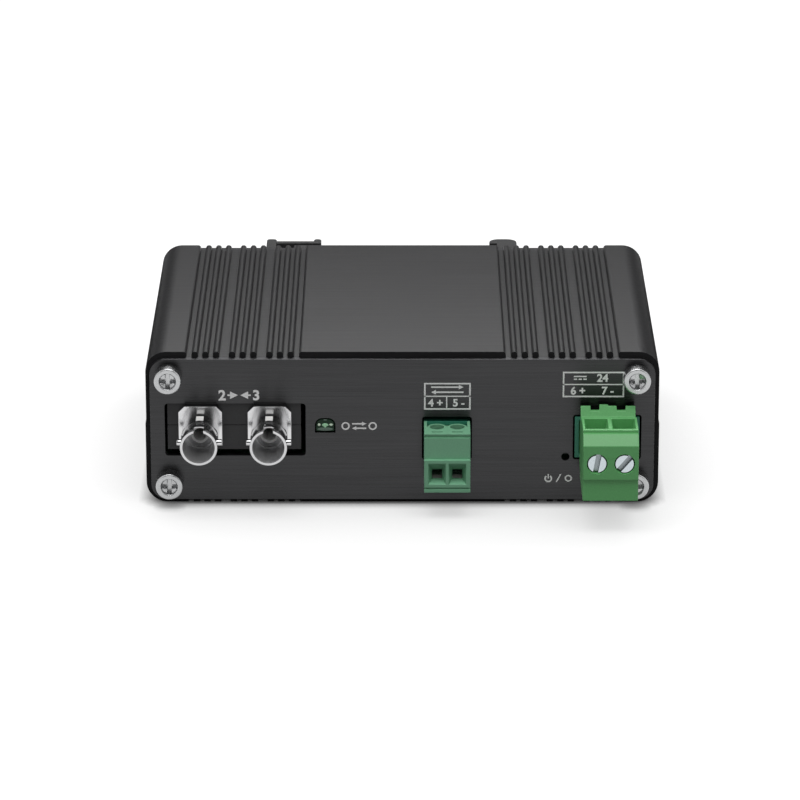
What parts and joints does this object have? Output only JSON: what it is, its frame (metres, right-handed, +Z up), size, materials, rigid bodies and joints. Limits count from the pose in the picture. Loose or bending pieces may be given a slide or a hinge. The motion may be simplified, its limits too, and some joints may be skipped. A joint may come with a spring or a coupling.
{
  "type": "fibre media converter",
  "caption": "Black ribbed aluminium media converter box with bayonet fibre ports, green pluggable screw terminals and a sprung rail clip behind.",
  "frame": {"origin": "centre of the case's bottom face", "axes": "+X along the front to the right, -Y out of the front panel, +Z up"},
  "size_m": [0.097, 0.0957, 0.03],
  "materials": {
    "case": "black anodised, satin",
    "panel": "black anodised, brushed",
    "screw_steel": "bright nickel plate",
    "black_screw": "black oxide",
    "board": "green solder mask",
    "black_component": "moulded",
    "capacitor_sleeve": "shrink sleeve",
    "lamp_lens": "tinted lens",
    "module_plastic": "moulded, satin",
    "port_nickel": "bright nickel plate",
    "ceramic": "ground ceramic",
    "pin_metal": "tin plate",
    "contact_metal": "tin plate",
    "header_green": "moulded",
    "data_plug_green": "moulded",
    "power_plug_green": "moulded",
    "terminal_screw": "zinc plate",
    "clamp_metal": "zinc plate",
    "clip_plastic": "moulded",
    "spring_wire": "drawn wire"
  },
  "bodies": {
    "converter": {"top_shell": "case", "bottom_shell": "case", "front_panel": "panel", "rear_panel": "panel", "front_panel_screws": "screw_steel", "rear_panel_screws": "screw_steel", "circuit_board": "board", "dc_converter": "black_component", "input_capacitor": "capacitor_sleeve", "controller_chip": "black_component", "line_driver_chip": "black_component", "power_led": "lamp_lens", "link_led_holder": "black_component", "link_led": "lamp_lens", "transceiver_base": "module_plastic", "transceiver_cover": "module_plastic", "transceiver_pins": "pin_metal", "transmit_port": "port_nickel", "receive_port": "port_nickel", "transmit_sleeve": "ceramic", "receive_sleeve": "ceramic", "data_header": "header_green", "data_header_pins": "pin_metal", "power_header": "header_green", "power_header_pins": "pin_metal", "rail_bracket": "clip_plastic", "rail_bracket_screws": "black_screw", "rail_latch_spring": "spring_wire"},
    "data_plug": {"data_plug": "data_plug_green", "data_plug_contacts": "contact_metal"},
    "power_plug": {"power_plug": "power_plug_green", "power_plug_contacts": "contact_metal"},
    "rail_latch": {"rail_latch": "clip_plastic"},
    "data_screw_left": {"data_screw_left": "terminal_screw"},
    "data_clamp_left": {"data_clamp_left": "clamp_metal"},
    "data_screw_right": {"data_screw_right": "terminal_screw"},
    "data_clamp_right": {"data_clamp_right": "clamp_metal"},
    "power_screw_left": {"power_screw_left": "terminal_screw"},
    "power_clamp_left": {"power_clamp_left": "clamp_metal"},
    "power_screw_right": {"power_screw_right": "terminal_screw"},
    "power_clamp_right": {"power_clamp_right": "clamp_metal"}
  },
  "joints": [
    {"name": "data_plug_pull", "type": "slide", "parent": "converter", "child": "data_plug", "axis": [0, -1, 0], "range_m": [0, 0.012]},
    {"name": "power_plug_pull", "type": "slide", "parent": "converter", "child": "power_plug", "axis": [0, -1, 0], "range_m": [0, 0.014]},
    {"name": "rail_latch_slide", "type": "slide", "parent": "converter", "child": "rail_latch", "axis": [-1, 0, 0], "range_m": [0, 0.003], "stiffness_N_per_m": 800, "springref_m": -0.002, "deforming": ["rail_latch_spring"]},
    {"name": "data_screw_left_turn", "type": "hinge", "parent": "data_plug", "child": "data_screw_left", "pos_m": [0.00649, -0.03835, 0.0147], "axis": [0, 0, -1], "range_deg": [0, 1080]},
    {"name": "data_clamp_left_rise", "type": "slide", "parent": "data_plug", "child": "data_clamp_left", "axis": [0, 0, 1], "range_m": [0, 0.0012]},
    {"name": "data_screw_right_turn", "type": "hinge", "parent": "data_plug", "child": "data_screw_right", "pos_m": [0.0103, -0.03835, 0.0147], "axis": [0, 0, -1], "range_deg": [0, 1080]},
    {"name": "data_clamp_right_rise", "type": "slide", "parent": "data_plug", "child": "data_clamp_right", "axis": [0, 0, 1], "range_m": [0, 0.0012]},
    {"name": "power_screw_left_turn", "type": "hinge", "parent": "power_plug", "child": "power_screw_left", "pos_m": [0.03606, -0.0507, 0.0141], "axis": [0, 1, 0], "range_deg": [0, 1008]},
    {"name": "power_clamp_left_draw", "type": "slide", "parent": "power_plug", "child": "power_clamp_left", "axis": [0, -1, 0], "range_m": [0, 0.0014]},
    {"name": "power_screw_right_turn", "type": "hinge", "parent": "power_plug", "child": "power_screw_right", "pos_m": [0.04114, -0.0507, 0.0141], "axis": [0, 1, 0], "range_deg": [0, 1008]},
    {"name": "power_clamp_right_draw", "type": "slide", "parent": "power_plug", "child": "power_clamp_right", "axis": [0, -1, 0], "range_m": [0, 0.0014]}
  ],
  "couplings": [
    {"joint": "data_screw_left_turn", "follows": "data_clamp_left_rise", "rad_per_m": 15707},
    {"joint": "data_screw_right_turn", "follows": "data_clamp_right_rise", "rad_per_m": 15707},
    {"joint": "power_screw_left_turn", "follows": "power_clamp_left_draw", "rad_per_m": 12566},
    {"joint": "power_screw_right_turn", "follows": "power_clamp_right_draw", "rad_per_m": 12566}
  ]
}
